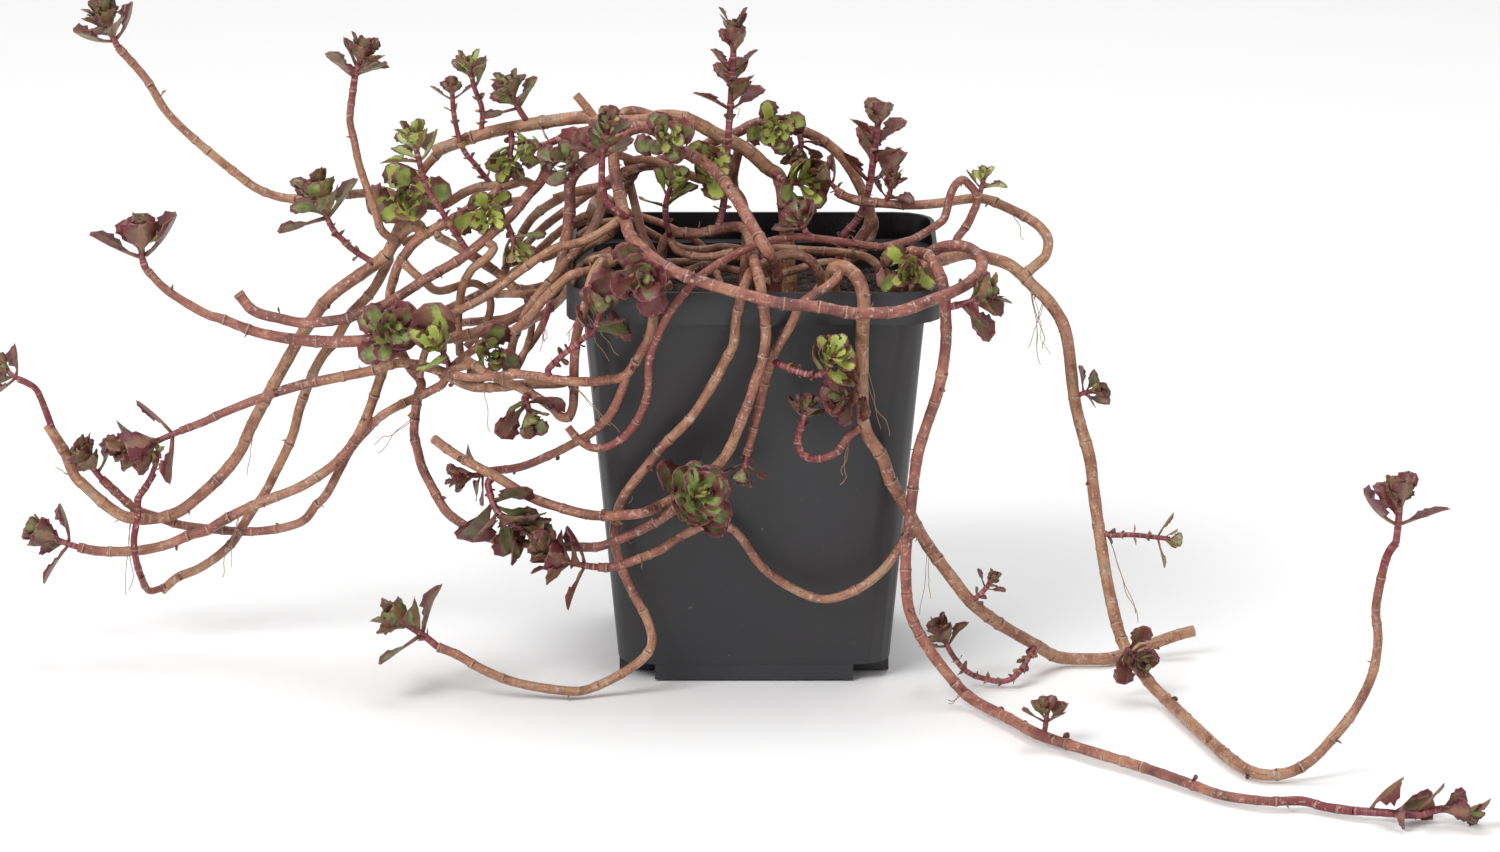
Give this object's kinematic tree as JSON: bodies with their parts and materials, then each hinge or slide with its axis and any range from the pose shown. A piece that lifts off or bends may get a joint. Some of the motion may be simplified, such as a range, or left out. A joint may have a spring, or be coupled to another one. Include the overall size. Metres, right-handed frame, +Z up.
{
  "type": "potted succulent",
  "caption": "Sprawling sedum in a square nursery pot: bare arching stems with small leafy rosettes, some trailing over the rim down to the floor.",
  "frame": {"origin": "centre of the pot's foot, at the level the pot stands on", "axes": "+Z up, +X along the plant's longest reach, to the right as seen from the front, +Y to the back"},
  "size_m": [0.3575, 0.202, 0.1636],
  "materials": {
    "pot": "charcoal grey, satin",
    "soil": "dry dark peat crumbs",
    "bark": "tan to reddish brown, matt",
    "burgundy": "wine red leaf, waxy",
    "crimson": "crimson young leaf, waxy",
    "mixed": "green leaf with red margin, waxy",
    "green": "green leaf with thin red margin, waxy",
    "lime": "lime green young leaf, waxy"
  },
  "bodies": {
    "root": {"pot": "pot", "soil": "soil", "stem_arch": "bark", "stem_left_high": "bark", "stem_knee": "bark", "stem_far_left": "bark", "stem_slant": "bark", "stem_left_up": "bark", "stem_side": "bark", "stem_cross": "bark", "stem_low_front": "bark", "stem_low_back": "bark", "stem_loop": "bark", "stem_high": "bark", "stem_inner": "bark", "stem_right_front": "bark", "stem_right_far": "bark", "stem_long_red": "bark", "stem_pot_right": "bark", "stem_front_right": "bark", "stem_front_left": "bark", "stem_middle": "bark", "stem_corner": "bark", "stem_left_rim": "bark", "stem_left_brown": "bark", "stem_tangle_a": "bark", "stem_tangle_b": "bark", "stem_tangle_c": "bark", "tip_high_left": "mixed", "tip_up_left": "mixed", "bough_left": "mixed", "tip_low_back": "mixed", "tip_cross": "mixed", "tip_crown": "mixed", "tip_loop": "mixed", "rosette_crown": "mixed", "tall_middle": "mixed", "tall_right": "mixed", "rosette_corner": "mixed", "rosette_tangle": "mixed", "bough_middle": "mixed", "rosette_front": "mixed", "tip_front_left": "mixed", "tip_far": "mixed", "tip_left": "burgundy", "tip_low_front": "burgundy", "bough_rim": "burgundy", "bough_corner": "burgundy", "rosette_side": "burgundy", "tip_front_low": "burgundy", "bough_back": "green", "rosette_left": "green", "tip_pot": "green", "rosette_rim": "green", "bough_front": "green", "rosette_knee": "lime", "bough_inner": "lime", "rosette_inner": "lime", "rosette_stem": "crimson", "tip_floor": "crimson"}
  },
  "joints": []
}
